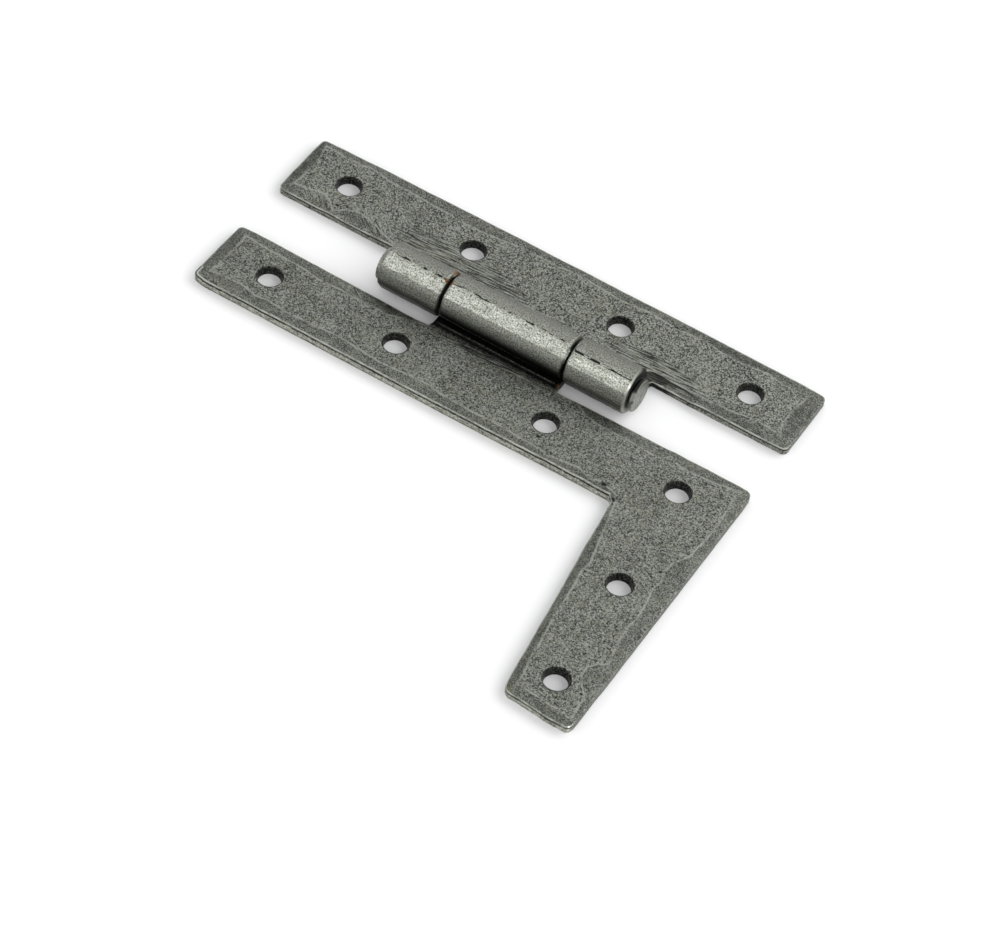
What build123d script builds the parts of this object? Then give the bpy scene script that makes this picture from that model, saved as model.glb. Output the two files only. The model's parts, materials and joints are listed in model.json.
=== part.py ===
from build123d import *
import os
from math import asin, cos, sin

# A small cabinet hinge of the H and L kind, lying open and flat on its back.
# Two leaves are cut from steel sheet, their barrel ends are rolled round one steel pin,
# and every outer edge of the strips is hammered down to a bevel.
# X runs along the pin, Y from the angled leaf to the straight leaf, Z out of the front faces.
# The origin lies on the pin's axis, at the middle of the strips' length.

# Sheet and strips
plate_thickness = 1.3
strip_length = 83.0
strip_width = 12.2
straight_neck_length = 4.95  # from the pin's axis to the straight leaf's strip
angled_neck_length = 4.15    # from the pin's axis to the angled leaf's strip
strip_corner_radius = 0.8

# The arm that makes the angled leaf an L
arm_length = 36.4            # from the strip's near edge to the foot
arm_root_width = 15.2
arm_foot_width = 10.5
foot_corner_radius = 1.2
crotch_radius = 0.5          # inside corner between strip and arm

# Hammered bevel round the front face
bevel_width = 1.7
bevel_drop = 0.18
bevel_overrun = 0.4          # how far the cutting wedge runs past the sheet

# Barrel
pin_radius = 2.15
pin_clearance = 0.05
head_radius = 2.5            # the pin's ends are hammered over, so that it can't slide out
head_height = 0.9
head_edge_round = 0.35
outer_knuckle_length = 9.6
centre_knuckle_length = 19.4
knuckle_gap = 0.5
barrel_offset = 0.35         # the barrel sits this far off the strips' middle
seam_gap = 0.15              # slit between the end of the roll and its own leaf
neck_corner_radius = 0.3
knuckle_rim_chamfer = 0.3    # the ends of each roll are eased outside

# Screw holes
hole_radius = 1.8
hole_rim_chamfer = 0.12
outer_hole_spacing = 65.6
inner_hole_spacing = 24.1
straight_row_offset = -0.3   # each leaf's row of holes sits a little off its middle
angled_row_offset = 0.3
arm_hole_near = 12.2         # from the strip's near edge to the first arm hole
arm_hole_far = 30.4

match_tolerance = 0.01       # edges and corners nearer than this to a line count as on it

# Sizes that follow from those above
bore_radius = pin_radius + pin_clearance
barrel_radius = bore_radius + plate_thickness
back = -barrel_radius
front = back + plate_thickness
straight_inner_edge = straight_neck_length
straight_outer_edge = straight_inner_edge + strip_width
straight_row = straight_inner_edge + strip_width / 2
angled_inner_edge = -angled_neck_length
angled_outer_edge = angled_inner_edge - strip_width
angled_row = angled_inner_edge - strip_width / 2
foot_line = angled_outer_edge - arm_length
strip_end = strip_length / 2
centre_start = barrel_offset - centre_knuckle_length / 2
centre_end = barrel_offset + centre_knuckle_length / 2
left_start = centre_start - knuckle_gap - outer_knuckle_length
right_start = centre_end + knuckle_gap
right_end = right_start + outer_knuckle_length
arm_root_x = strip_end - arm_root_width
arm_foot_x = strip_end - arm_foot_width
seam_angle = asin((bore_radius - seam_gap) / barrel_radius)

os.makedirs("parts", exist_ok=True)


def arm_middle(distance):
    """Return x half way across the tapering arm, at a distance below the strip."""
    inner_x = arm_root_x + (arm_foot_x - arm_root_x) * distance / arm_length
    return (inner_x + strip_end) / 2


def row_of_holes(offset):
    """Return the x of the four screw holes along a strip."""
    spacings = (-outer_hole_spacing, -inner_hole_spacing, inner_hole_spacing, outer_hole_spacing)
    return [offset + spacing / 2 for spacing in spacings]


def knuckle_section(start, side, neck_length):
    """Draw the rolled eye at x = start: a ring slit beside its leaf, and the tongue that carries it.

    The tongue lies on the back plane and meets the ring tangent under the pin. side is +1
    for a leaf that lies towards +Y and -1 for one towards -Y.
    """
    reach = 2 * barrel_radius
    seam_end = (side * reach * cos(seam_angle), -reach * sin(seam_angle))
    root = side * (neck_length + bevel_width)
    with BuildSketch(Plane.YZ.offset(start)) as section:
        Circle(barrel_radius)
        Circle(bore_radius, mode=Mode.SUBTRACT)
        with BuildLine():
            Polyline((0, 0), seam_end, (side * reach, -reach), (0, -reach), close=True)
        make_face(mode=Mode.SUBTRACT)
        with BuildLine():
            Polyline((0, back), (root, back), (root, front), (0, front), close=True)
        make_face()
    return section.sketch


def bevel_wedge(start):
    """Draw the wedge that a sweep carries round an outline, with its slope on the bevel's plane.

    Local x points into the sheet and local y points up. start is a plane at the outline's edge,
    level with the front face.
    """
    slope = bevel_drop / bevel_width
    with BuildSketch(start) as wedge:
        with BuildLine():
            Polyline(
                (-bevel_overrun, -bevel_drop - bevel_overrun * slope),
                (bevel_width + bevel_overrun, bevel_overrun * slope),
                (-bevel_overrun, bevel_overrun),
                close=True,
            )
        make_face()
    return wedge.sketch


def is_strip_corner(vertex):
    """Say whether a vertex is one of the strip's outer corners, away from the arm's foot."""
    return abs(vertex.X) > strip_end - match_tolerance and vertex.Y > foot_line + match_tolerance


def neck_corners(leaf, edge_y):
    """Find the upright inside corners where a knuckle's neck meets its strip."""
    upright = leaf.edges().filter_by(Axis.Z)
    upright = upright.filter_by(lambda e: abs(e.center().Y - edge_y) < match_tolerance)
    return upright.filter_by(lambda e: abs(e.center().X) < strip_end / 2)


def knuckle_rims(leaf):
    """Find the round outer edges at the ends of each knuckle."""
    arcs = leaf.edges().filter_by(GeomType.CIRCLE)
    return arcs.filter_by(lambda e: abs(e.radius - barrel_radius) < match_tolerance)


def front_hole_rims(leaf):
    """Find the round edges of the screw holes on the front face."""
    circles = leaf.edges().filter_by(GeomType.CIRCLE)
    circles = circles.filter_by(lambda e: abs(e.radius - hole_radius) < match_tolerance)
    return circles.filter_by(lambda e: abs(e.center().Z - front) < match_tolerance)


def outer_head_rims(pin):
    """Find the round edges at the far ends of the pin, one on each head."""
    circles = pin.edges().filter_by(GeomType.CIRCLE)
    circles = circles.filter_by(lambda e: abs(e.radius - head_radius) < match_tolerance)
    circles = circles.sort_by(Axis.X)
    return [circles[0], circles[-1]]


# The outlines of both leaves, with square corners, as the bevel follows them
straight_outline = [
    (0, straight_inner_edge),
    (strip_end, straight_inner_edge),
    (strip_end, straight_outer_edge),
    (-strip_end, straight_outer_edge),
    (-strip_end, straight_inner_edge),
]
angled_outline = [
    (0, angled_inner_edge),
    (-strip_end, angled_inner_edge),
    (-strip_end, angled_outer_edge),
    (arm_root_x, angled_outer_edge),
    (arm_foot_x, foot_line),
    (strip_end, foot_line),
    (strip_end, angled_inner_edge),
]

# Straight leaf: the far strip, with the two outer knuckles
with BuildPart() as straight_leaf:
    with BuildSketch(Plane.XY.offset(back)) as straight_sheet:
        with BuildLine():
            Polyline(*straight_outline, close=True)
        make_face()
        fillet(straight_sheet.vertices().filter_by(is_strip_corner), strip_corner_radius)
    extrude(amount=plate_thickness)
    with BuildLine(Plane.XY.offset(front)) as straight_edge:
        Polyline(*straight_outline, close=True)
    straight_start = Plane(origin=(0, straight_inner_edge, front), x_dir=(0, 1, 0), z_dir=(1, 0, 0))
    sweep(bevel_wedge(straight_start), path=straight_edge.wire(), transition=Transition.RIGHT, mode=Mode.SUBTRACT)
    for start in (left_start, right_start):
        extrude(knuckle_section(start, 1, straight_neck_length), amount=outer_knuckle_length)
    with Locations(*[(x, straight_row, front) for x in row_of_holes(straight_row_offset)]):
        Hole(hole_radius, depth=plate_thickness)
    fillet(neck_corners(straight_leaf, straight_inner_edge), neck_corner_radius)
    chamfer(knuckle_rims(straight_leaf), knuckle_rim_chamfer)
    chamfer(front_hole_rims(straight_leaf), hole_rim_chamfer)
straight_leaf.part.label = "straight_leaf"
export_step(straight_leaf.part, "parts/straight_leaf.step")

# Angled leaf: the near strip with its arm, and the centre knuckle
with BuildPart() as angled_leaf:
    with BuildSketch(Plane.XY.offset(back)) as angled_sheet:
        with BuildLine():
            Polyline(*angled_outline, close=True)
        make_face()
        fillet(angled_sheet.vertices().filter_by(is_strip_corner), strip_corner_radius)
        fillet(angled_sheet.vertices().sort_by(Axis.Y)[:2], foot_corner_radius)
        crotch = angled_sheet.vertices().sort_by_distance((arm_root_x, angled_outer_edge, back))[0]
        fillet(crotch, crotch_radius)
    extrude(amount=plate_thickness)
    with BuildLine(Plane.XY.offset(front)) as angled_edge:
        Polyline(*angled_outline, close=True)
    angled_start = Plane(origin=(0, angled_inner_edge, front), x_dir=(0, -1, 0), z_dir=(-1, 0, 0))
    sweep(bevel_wedge(angled_start), path=angled_edge.wire(), transition=Transition.RIGHT, mode=Mode.SUBTRACT)
    extrude(knuckle_section(centre_start, -1, angled_neck_length), amount=centre_knuckle_length)
    with Locations(*[(x, angled_row, front) for x in row_of_holes(angled_row_offset)]):
        Hole(hole_radius, depth=plate_thickness)
    with Locations(*[(arm_middle(d), angled_outer_edge - d, front) for d in (arm_hole_near, arm_hole_far)]):
        Hole(hole_radius, depth=plate_thickness)
    fillet(neck_corners(angled_leaf, angled_inner_edge), neck_corner_radius)
    chamfer(knuckle_rims(angled_leaf), knuckle_rim_chamfer)
    chamfer(front_hole_rims(angled_leaf), hole_rim_chamfer)
angled_leaf.part.label = "angled_leaf"
export_step(angled_leaf.part, "parts/angled_leaf.step")

# Hinge pin: a steel rod through the barrel, with a low head against each outer knuckle
with BuildPart() as hinge_pin:
    with BuildSketch(Plane.YZ.offset(left_start)):
        Circle(pin_radius)
    extrude(amount=right_end - left_start)
    for head_start in (left_start - head_height, right_end):
        with BuildSketch(Plane.YZ.offset(head_start)):
            Circle(head_radius)
        extrude(amount=head_height)
    fillet(outer_head_rims(hinge_pin), head_edge_round)
hinge_pin.part.label = "hinge_pin"
export_step(hinge_pin.part, "parts/hinge_pin.step")

for piece in (straight_leaf, angled_leaf, hinge_pin):
    print(piece.part.label, "volume", round(piece.part.volume, 1), "mm3, valid", piece.part.is_valid)
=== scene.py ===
# %% [markdown]
# # A small H-L hinge in pewter-grey steel
# This lesson dresses a cabinet hinge that was drawn in CAD. Its two leaves are cut from steel
# sheet, their edges are hammered down while the blank is still flat, and only then are the
# barrel's knuckles rolled round a pin. The script follows the same order: it makes a flat
# blank as arrays of points, hammers it, and rolls it. First it loads the CAD model, whose
# pieces stay where they are.

# %% Load the hinge's frame
import json
import bpy
import numpy as np
from mathutils import Matrix, Vector


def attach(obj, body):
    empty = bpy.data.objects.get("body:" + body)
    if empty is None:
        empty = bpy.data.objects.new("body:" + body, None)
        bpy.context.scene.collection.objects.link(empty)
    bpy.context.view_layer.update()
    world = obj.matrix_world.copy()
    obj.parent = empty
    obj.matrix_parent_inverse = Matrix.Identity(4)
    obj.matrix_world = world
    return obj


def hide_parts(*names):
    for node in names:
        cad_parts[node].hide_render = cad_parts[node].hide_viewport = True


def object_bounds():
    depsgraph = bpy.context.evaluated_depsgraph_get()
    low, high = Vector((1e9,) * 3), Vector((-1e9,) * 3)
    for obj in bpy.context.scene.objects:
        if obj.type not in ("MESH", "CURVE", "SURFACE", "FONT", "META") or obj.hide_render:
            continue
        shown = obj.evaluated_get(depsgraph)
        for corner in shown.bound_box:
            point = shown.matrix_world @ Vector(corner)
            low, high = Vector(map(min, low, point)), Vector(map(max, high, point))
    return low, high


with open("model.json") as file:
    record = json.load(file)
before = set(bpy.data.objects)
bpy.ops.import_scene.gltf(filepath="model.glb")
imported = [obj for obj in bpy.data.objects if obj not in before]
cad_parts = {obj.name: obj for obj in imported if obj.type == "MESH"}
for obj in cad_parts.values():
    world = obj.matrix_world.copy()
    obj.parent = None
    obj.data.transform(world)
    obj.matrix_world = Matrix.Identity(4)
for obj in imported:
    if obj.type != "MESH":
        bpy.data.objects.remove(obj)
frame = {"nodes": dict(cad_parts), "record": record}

cad_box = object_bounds()
print("nodes:", sorted(frame["nodes"]))
print("CAD box in mm:", [[round(v * 1000, 2) for v in corner] for corner in cad_box])

# %% [markdown]
# ## Sizes
# The CAD frame has its origin on the pin's axis, X along the pin and Z out of the front faces.
# Blender works in metres, but a hinge is easier to think of in millimetres, so every shape
# below is worked out in millimetres and divided by 1000 when it becomes a mesh. The screw
# holes are read from the record that came with the model, so they match it exactly.

# %% Name the sizes in millimetres
BORE = 2.2
SHEET = 1.3
BARREL = BORE + SHEET
NEUTRAL = BORE + SHEET / 2
FRONT = -BORE
BACK = -BARREL
STRIP_END = 41.5
STRAIGHT_NEAR, STRAIGHT_FAR = 4.95, 17.15
ANGLED_NEAR, ANGLED_FAR = -4.15, -16.35
FOOT = -52.75
ARM_ROOT, ARM_FOOT = 15.2, 10.5
KNUCKLES = {"left": (-19.45, -9.85), "centre": (-9.35, 10.05), "right": (10.55, 20.15)}
(BARREL_START, LEFT_END), (CENTRE_START, CENTRE_END), (RIGHT_START, BARREL_END) = KNUCKLES.values()
SEAM_GAP = 0.15
SEAM_ANGLE = np.arcsin((BORE - SEAM_GAP) / BARREL)
ROLL_LENGTH = (1.5 * np.pi + SEAM_ANGLE) * NEUTRAL

mounts = {m["name"]: m for m in frame["record"]["mounts"]}


def screw_holes(*names):
    """Return the centres in mm of the holes that the record's mounts of these names stand for."""
    found = []
    for name in names:
        x, y, _ = (1000 * v for v in mounts[name]["pos_m"])
        half = mounts[name]["dims"].get("spacing_x_mm", 0) / 2
        found += [(x - half, y), (x + half, y)] if half else [(x, y)]
    return sorted(found)


straight_holes = screw_holes("straight_outer_screws", "straight_inner_screws")
angled_holes = screw_holes("angled_outer_screws", "angled_inner_screws")
arm_holes = sorted(screw_holes("arm_near_screw", "arm_far_screw"), key=lambda c: -c[1])
HOLE = mounts["straight_outer_screws"]["dims"]["hole_r_mm"]
print("holes:", len(straight_holes), len(angled_holes), len(arm_holes), "of radius", HOLE)

# %% [markdown]
# ## The flat blank
# A sheet of metal is two nets of points, one for each face, with a wall between them. The nets
# need a point wherever the outline turns and a neat ring round each screw hole. So the blank is
# cut into rectangles: plain ones get an even grid, and those with a hole get rays from the hole's
# rim to the rectangle's border. Neighbours share their border points, and welding joins them.

# %% Make nets of points for plain rectangles and for those with a hole
STEP = 0.255
RINGS = 17
SAME_PLACE = 1e-6
ON_LINE = 1e-3


def stations(stops):
    """Return places along one direction: every stop, and even steps between each pair of them."""
    runs = [np.linspace(a, b, max(1, round((b - a) / STEP)), endpoint=False)
            for a, b in zip(stops[:-1], stops[1:])]
    return np.concatenate(runs + [stops[-1:]])


def between(places, low, high):
    """Return the stations from low to high, both ends included."""
    return places[(places > low - SAME_PLACE) & (places < high + SAME_PLACE)]


def as_drawn(net):
    """Leave a net's points where they were drawn."""
    return net


def plain_patch(xs, ys, place=as_drawn):
    """Net over a rectangle: every x paired with every y; each quad joins four neighbours."""
    net = place(np.stack(np.meshgrid(xs, ys, indexing="ij"), -1).reshape(-1, 2))
    i = np.arange(len(net)).reshape(len(xs), len(ys))
    quads = np.stack([i[:-1, :-1], i[1:, :-1], i[1:, 1:], i[:-1, 1:]], -1)
    return net, quads.reshape(-1, 4)


def hole_patch(xs, ys, centre, place=as_drawn):
    """Net between a hole and its rectangle: a point moves along each ray from rim to border.

    The point at share t of ray b is rim(b) * (1 - t) + border(b) * t, where rim(b) lies on the
    circle in the direction of border(b).
    """
    side = [np.stack(np.broadcast_arrays(xs[:-1], ys[0]), -1),
            np.stack(np.broadcast_arrays(xs[-1], ys[:-1]), -1),
            np.stack(np.broadcast_arrays(xs[:0:-1], ys[-1]), -1),
            np.stack(np.broadcast_arrays(xs[0], ys[:0:-1]), -1)]
    border = place(np.concatenate(side))
    ray = border - np.array(centre)
    rim = centre + HOLE * ray / np.linalg.norm(ray, axis=1, keepdims=True)
    share = np.linspace(0, 1, RINGS + 1)[None, :, None]
    net = rim[:, None] * (1 - share) + border[:, None] * share
    i = np.arange(net.shape[0] * net.shape[1]).reshape(net.shape[:2])
    j = np.roll(i, -1, axis=0)
    quads = np.stack([i[:, :-1], i[:, 1:], j[:, 1:], j[:, :-1]], -1)
    return net.reshape(-1, 2), quads.reshape(-1, 4)


def weld(patches):
    """Join the patches into one net: points nearer than a hundredth of a micrometre become one."""
    starts = np.cumsum([0] + [len(net) for net, _ in patches[:-1]])
    quads = np.concatenate([q + s for (_, q), s in zip(patches, starts)])
    net = np.concatenate([net for net, _ in patches])
    _, first, same = np.unique(np.round(net, 5), axis=0, return_index=True, return_inverse=True)
    return net[first], same.reshape(-1)[quads]


# %% [markdown]
# The outline's corners are rounded in two ways. A corner that points outwards is rounded by
# pulling the small square at the corner into a quarter of a disc, so the net inside follows.
# At a corner that points inwards, only the border moves: it slides on to an arc.

# %% Round the corners of a net
def round_outward(net, corner, inward, radius):
    """Pull the square at a corner into a quarter disc: p becomes p * max(a, b) / length(a, b).

    a and b are measured from the disc's centre, which lies radius inside both edges.
    """
    inward = np.array(inward, float)
    centre = np.array(corner) + inward * radius
    local = (net - centre) * -inward
    inside = (local > 1e-9).all(axis=1) & (local < radius + SAME_PLACE).all(axis=1)
    a = local[inside]
    a = a * (a.max(axis=1) / np.linalg.norm(a, axis=1))[:, None]
    net = net.copy()
    net[inside] = centre - a * inward
    return net


def round_inward(net, rim, corner, leg_a, leg_b, radius):
    """Slide the border near an inside corner on to an arc that touches both legs.

    A border point at distance s from the corner goes to the arc's angle 45 * (1 - s / radius)
    degrees away from the leg's own touching point.
    """
    corner = np.array(corner, float)
    legs = [np.array(v, float) / np.linalg.norm(v) for v in (leg_a, leg_b)]
    opening = np.arccos(np.clip(legs[0] @ legs[1], -1, 1))
    reach = radius / np.tan(opening / 2)
    middle = legs[0] + legs[1]
    middle /= np.linalg.norm(middle)
    centre = corner + middle * radius / np.sin(opening / 2)
    net = net.copy()
    for leg in legs:
        offset = net - corner
        s = offset @ leg
        on_leg = np.abs(offset - s[:, None] * leg).max(axis=1) < ON_LINE
        near = rim & on_leg & (s > -SAME_PLACE) & (s < reach)
        touch = (corner + leg * reach) - centre
        turn = (np.pi - opening) / 2 * (1 - s[near] / reach)
        side = np.sign(touch[0] * -middle[1] + touch[1] * middle[0])
        cos, sin = np.cos(turn), side * np.sin(turn)
        net[near] = centre + np.stack([touch[0] * cos - touch[1] * sin,
                                       touch[0] * sin + touch[1] * cos], -1)
    return net


# %% [markdown]
# ## From a net to a closed plate
# The outline is found from the quads: an edge that only one quad uses lies on the border. The
# neighbours of a border point give the direction of the outline there, and so which way is out.
# The wall then runs from one face to the other, with its edges eased by small arcs.

# %% Find the border and close the plate with a wall
WALL_SHARES = (0.15, 0.32, 0.65)


def border_of(net, quads):
    """Return border edges as pairs of points, and the outward direction at every border point."""
    a = quads.reshape(-1)
    b = np.roll(quads, -1, axis=1).reshape(-1)
    alone = ~np.isin(a * len(net) + b, b * len(net) + a)
    a, b = a[alone], b[alone]
    after = np.zeros(len(net), int)
    before = np.zeros(len(net), int)
    after[a] = b
    before[b] = a
    tangent = net[after[a]] - net[before[a]]
    outward = np.zeros_like(net)
    outward[a] = np.stack([tangent[:, 1], -tangent[:, 0]], -1)
    outward[a] /= np.linalg.norm(outward[a], axis=1, keepdims=True)
    return a, b, outward


def rim_of(net, quads):
    """Say for every point of a net whether it lies on the border."""
    rim = np.zeros(len(net), bool)
    rim[border_of(net, quads)[0]] = True
    return rim


def plate(net, quads, front, back, ease, bulge):
    """Close two faces into one plate: points, faces, face, share down the wall, and source.

    The wall has rows from front to back. Near each face they follow a quarter circle of radius
    ease: inset = ease * (1 - sin t), depth = ease * (1 - cos t). Between, bulge moves them.
    The face is 0 on the front, 1 on the wall and 2 on the back, and the source is the point of
    the net that a point was made from.
    """
    a, b, outward = border_of(net, quads)
    edge = np.unique(a)
    slot = np.zeros(len(net), int)
    slot[edge] = np.arange(len(edge))
    turn = np.radians([0, 30, 60, 90])
    inset, depth = 1 - np.sin(turn), 1 - np.cos(turn)
    top, under = ease(net[edge])
    rows = [(net[edge] - outward[edge] * (i * top)[:, None], front[edge] - d * top)
            for i, d in zip(inset, depth)]
    high, low = front[edge] - top, back[edge] + under
    for share in WALL_SHARES:
        push = bulge(net[edge], share)[:, None]
        rows.append((net[edge] - outward[edge] * push, high + (low - high) * share))
    push = bulge(net[edge], 1.0)
    rows += [(net[edge] - outward[edge] * (push + i * under)[:, None], back[edge] + d * under)
             for i, d in zip(inset[::-1], depth[::-1])]
    flat = net.copy()
    flat[edge] = rows[0][0]
    bottom = net.copy()
    bottom[edge] = rows[-1][0]
    middle = np.concatenate([np.column_stack(row) for row in rows[1:-1]])
    points = np.concatenate([np.column_stack([flat, front]), np.column_stack([bottom, back]), middle])
    first = [edge] + [2 * len(net) + k * len(edge) + np.arange(len(edge)) for k in range(len(rows) - 2)]
    first.append(len(net) + edge)
    wall = [np.stack([up[slot[a]], down[slot[a]], down[slot[b]], up[slot[b]]], -1)
            for up, down in zip(first[:-1], first[1:])]
    faces = np.concatenate([quads, quads[:, ::-1] + len(net)] + wall)
    face = np.repeat([0.0, 2.0, 1.0], [len(net), len(net), len(middle)])
    own = np.concatenate([np.arange(len(net)), np.arange(len(net)), np.tile(edge, len(rows) - 2)])
    down = (front[own] - points[:, 2]) / (front[own] - back[own])
    return points, faces, face, down, own


# %% [markdown]
# ## Hammering the edges
# The real leaf's edge is beaten down by a row of overlapping blows. Each blow leaves a shallow
# slope towards the edge, and where it ends inside the leaf its border wanders. Where two blows
# meet, a ridge stays. So a blow is given as its inner border, a short list of (place, width)
# pairs read along the edge, with its slope. A blow stops at a depth of its own, and steep ones
# go deeper. The leaf's front is the lowest of them all. The gap between the two lowest says how
# near a ridge is, which the material uses later.

# %% Beat down an edge with a row of blows
STEEP = 0.2
LIMIT, STEEP_LIMIT = 0.3, 0.36
PAST_END = 1.2
DRAWN_IN = 3.0


def waves(values, seed, scale, count=5):
    """Sum a few sine waves of random length and phase: a smooth, repeatable wobble within -1 to 1."""
    rng = np.random.default_rng(seed)
    total = np.zeros_like(values)
    for _ in range(count):
        total += np.sin(values * 2 * np.pi / (scale * rng.uniform(0.6, 1.7)) + rng.uniform(0, 6.28))
    return total / count


def beat(points, edges):
    """Return each point's depth and a few values for the material: see the names at the end.

    With s the place along the edge and d the distance from it, reach = w(s) - d, less 1.2 times
    the distance past the blow's ends. The depth is min(slope * reach, limit). The way is one
    where the deepest blow slopes down to the left and zero where it slopes down to the right.
    """
    depths, reaches, ways, nearest = [], [], [], []
    for start, end, blows in edges:
        start, end = np.array(start, float), np.array(end, float)
        length = np.linalg.norm(end - start)
        along = (end - start) / length
        offset = points - start
        s = offset @ along
        d = offset @ np.array([-along[1], along[0]])
        past = np.maximum(s - length, 0) + np.maximum(-s, 0)
        d = np.where(past > 0, np.hypot(past, d), d)
        nearest.append(np.abs(d))
        for slope, border in blows:
            place, width = np.array(border, float).T
            outside = np.maximum(s - place[-1], 0) + np.maximum(place[0] - s, 0)
            reach = np.interp(s, place, width) - d - PAST_END * outside
            depths.append(np.minimum(slope * reach, STEEP_LIMIT if slope > STEEP else LIMIT))
            reaches.append(reach)
            ways.append(((1 - along[1]) / 2, slope > STEEP))
    depths = np.array(depths)
    reaches = np.array(reaches)
    second, deepest = np.partition(depths, -2, axis=0)[-2:]
    which = depths.argmax(axis=0)
    own = np.take_along_axis(reaches, which[None], 0)[0]
    reach = np.where(deepest > 0, own, reaches.max(axis=0))
    gap = np.where(second > 0, deepest - second, 1.0)
    way, steep = np.array(ways)[which].T
    return np.maximum(deepest, 0), {"reach": reach, "gap": gap, "way": way, "steep": steep,
                                    "nearest": np.min(nearest, axis=0)}


def draw_in(net, insets):
    """Move the outline inwards by uneven amounts, so that no edge is quite straight.

    A point at distance d inside an edge moves by inset(s) * (1 - d / 3), and the amount fades
    to nothing within a millimetre past the edge's ends.
    """
    shift = np.zeros_like(net)
    for start, end, rows in insets:
        start, end = np.array(start, float), np.array(end, float)
        length = np.linalg.norm(end - start)
        along = (end - start) / length
        inward = np.array([-along[1], along[0]])
        s, d = (net - start) @ along, (net - start) @ inward
        place, inset = np.array(rows, float).T
        past = np.maximum(s - length, 0) + np.maximum(-s, 0)
        share = np.where((d > -0.01) & (d < DRAWN_IN), 1 - d / DRAWN_IN, 0) * np.clip(1 - past, 0, 1)
        shift += inward * (np.interp(s, place, inset) * share)[:, None]
    return net + shift


# %% [markdown]
# ## Rolling the knuckles
# The blank's tongues are wound round the pin. Up to the pin's axis the sheet stays flat, and past
# it each point keeps its distance along the sheet but turns about the axis. The front face is at
# the bore's radius and the back face at the barrel's, so the sheet wraps with no change of
# thickness. The barrel was dressed with a hammer too, which left a few long flats on it.

# %% Bend a blank round the pin's axis
def roll(points, side):
    """Wind the part of the blank past the axis: angle = distance past / neutral radius.

    y becomes -side * r * sin(angle) and z becomes -r * cos(angle), where r = -z of the blank.
    """
    x, y, z = points.T
    angle = np.maximum(-side * y, 0) / NEUTRAL
    radius = -z
    rolled = angle > 0
    return np.column_stack([x,
                            np.where(rolled, -side * radius * np.sin(angle), y),
                            np.where(rolled, -radius * np.cos(angle), z)])


def barrel_radius(lean, flats):
    """Outer radius at a lean in degrees from upright towards the near side, cut by flats.

    A flat at lean f and distance c from the axis has the radius c / cos(lean - f).
    """
    radius = np.full_like(lean, BARREL)
    for middle, distance in flats:
        away = np.abs((lean - middle + 180) % 360 - 180)
        cut = np.where(away < 60, distance / np.cos(np.radians(np.minimum(away, 60))), BARREL)
        radius = np.minimum(radius, cut)
    return radius


def end_round(x, start, end, radius):
    """How far the rounded end of a knuckle drops: radius - sqrt(radius^2 - (radius - d)^2)."""
    d = np.clip(np.minimum(x - start, end - x), 0, radius)
    return radius - np.sqrt(radius ** 2 - (radius - d) ** 2)


# %% Turn finished arrays into a Blender mesh
def to_mesh(name, points, faces, values):
    """Make a smooth-shaded mesh in metres, with one named value per point for each material mask."""
    mesh = bpy.data.meshes.new(name)
    mesh.from_pydata((points / 1000).tolist(), [], faces)
    mesh.polygons.foreach_set("use_smooth", np.ones(len(mesh.polygons), bool))
    for key, data in values.items():
        layer = mesh.attributes.new(key, "FLOAT", "POINT")
        layer.data.foreach_set("value", np.ascontiguousarray(data, dtype=np.float32))
    mesh.update()
    made = bpy.data.objects.new(name, mesh)
    bpy.context.scene.collection.objects.link(made)
    return made


# %% [markdown]
# ## The straight leaf
# A plain strip with four screw holes and the two outer knuckles.

# %% Cut and hammer the straight leaf's blank
END_ROUND = 0.4
RIM_STOPS = [0.04, 0.1, 0.2, END_ROUND]
CORNER, NECK_CORNER = 0.8, 0.3
EASE = 0.07
OFF_BARREL, LARGEST_LEAN = 999.0, 900.0


def knuckle_stops(names):
    """Return the stations at a knuckle's ends, closer together where its rim is rounded."""
    stops = []
    for name in names:
        start, end = KNUCKLES[name]
        stops += [start] + [start + v for v in RIM_STOPS] + [end - v for v in RIM_STOPS] + [end]
    return stops


def leaf_strip(holes, names, near, far, more=()):
    """Return the stations along the strip and its patches, with a square patch round each hole."""
    half = abs(far - near) / 2
    stops = [-STRIP_END, STRIP_END, *knuckle_stops(names), *more]
    for x, _ in holes:
        stops += [x - half, x + half]
    xs = stations(np.unique(np.round(stops, 4)))
    ys = stations(np.array(sorted([near, far])))
    patches = []
    low = -STRIP_END
    for x, y in holes:
        patches.append(plain_patch(between(xs, low, x - half), ys))
        patches.append(hole_patch(between(xs, x - half, x + half), ys, (x, y)))
        low = x + half
    patches.append(plain_patch(between(xs, low, STRIP_END), ys))
    return xs, patches


def tongue(xs, name, near, side, more=()):
    """Return the patch of blank that is rolled into one knuckle."""
    start, end = KNUCKLES[name]
    ys = stations(np.array(sorted([near, 0.0, -side * ROLL_LENGTH, *more])))
    return plain_patch(between(xs, start, end), ys)


def around_hole(points, holes):
    """One up to 0.1 mm outside a screw hole's edge, fading to zero 0.3 mm outside it."""
    away = np.min([np.hypot(points[:, 0] - x, points[:, 1] - y) for x, y in holes], axis=0)
    return np.clip((HOLE + 0.3 - away) / 0.2, 0, 1)


def side_bulge(net, share):
    """Uneven sides: the wall wanders in and out by a few hundredths of a millimetre.

    A punched hole narrows towards the back instead: its wall comes in by 0.15 mm times the share.
    """
    run = net[:, 0] + net[:, 1] * 0.9
    wander = 0.012 + 0.02 * waves(run + share * 7, 11, 5.0)
    punched = around_hole(net, straight_holes + angled_holes + arm_holes)
    return wander * (1 - punched) - 0.15 * share * punched


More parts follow.
